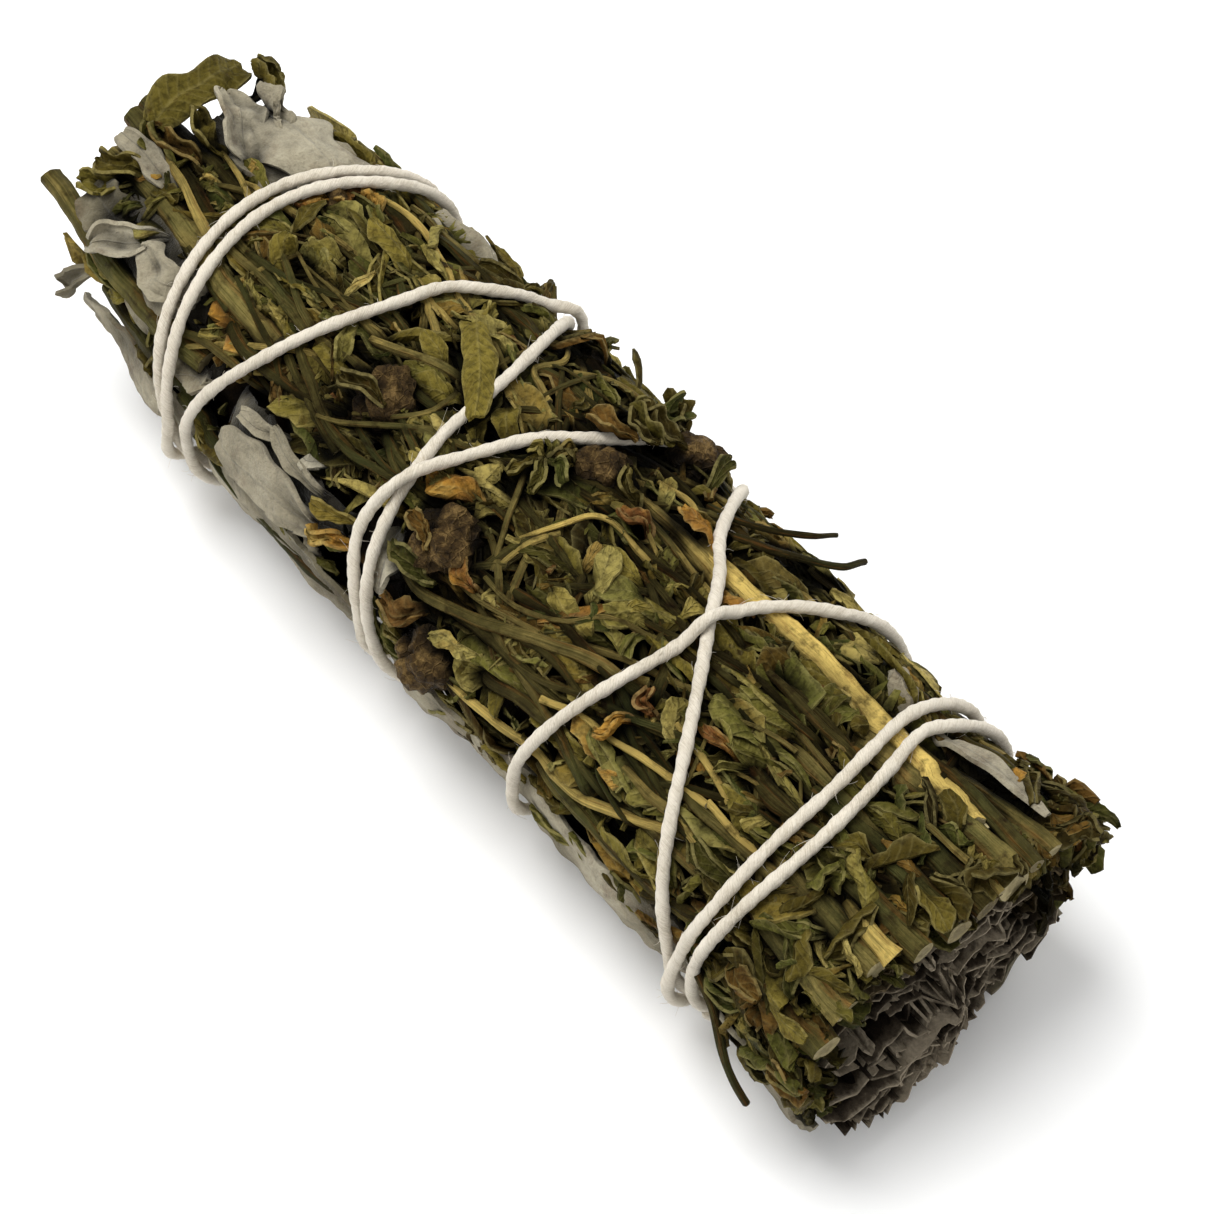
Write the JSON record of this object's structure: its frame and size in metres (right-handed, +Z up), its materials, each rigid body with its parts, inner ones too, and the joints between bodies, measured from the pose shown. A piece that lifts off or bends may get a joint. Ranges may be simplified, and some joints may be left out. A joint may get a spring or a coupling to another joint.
{
  "type": "tied herb bunch",
  "caption": "Short dried bunch of rue stems and sage leaves, lying on its side and wound criss-cross with one knotted cotton string.",
  "frame": {"origin": "on the surface the bunch lies on, under the middle of what it covers", "axes": "+X along the bunch to its cut ends, +Y to its right side seen from the leafy end's left, +Z up"},
  "size_m": [0.1109, 0.0369, 0.0284],
  "materials": {
    "cotton_string": "matte",
    "rue": "matte",
    "straw": "matte",
    "sage": "matte",
    "packed_sage": "matte"
  },
  "bodies": {
    "root": {"cotton_string": "cotton_string", "rue_spray_1": "rue", "rue_spray_2": "rue", "rue_spray_3": "rue", "rue_spray_4": "rue", "rue_spray_5": "rue", "rue_spray_6": "rue", "straw_stem": "straw", "sage_leaf_top_right": "sage", "sage_leaf_top_left": "sage", "sage_leaf_tip_left": "sage", "sage_leaf_left_cut_end": "sage", "sage_leaf_left_leafy_end": "sage", "sage_leaf_base_cut_end": "sage", "sage_leaf_base_leafy_end": "sage", "sage_leaf_right_cut_end": "sage", "sage_leaf_right_leafy_end": "sage", "sage_leaf_inner_left": "sage", "sage_leaf_inner_right": "sage", "packed_sage_leaves": "packed_sage"}
  },
  "joints": []
}
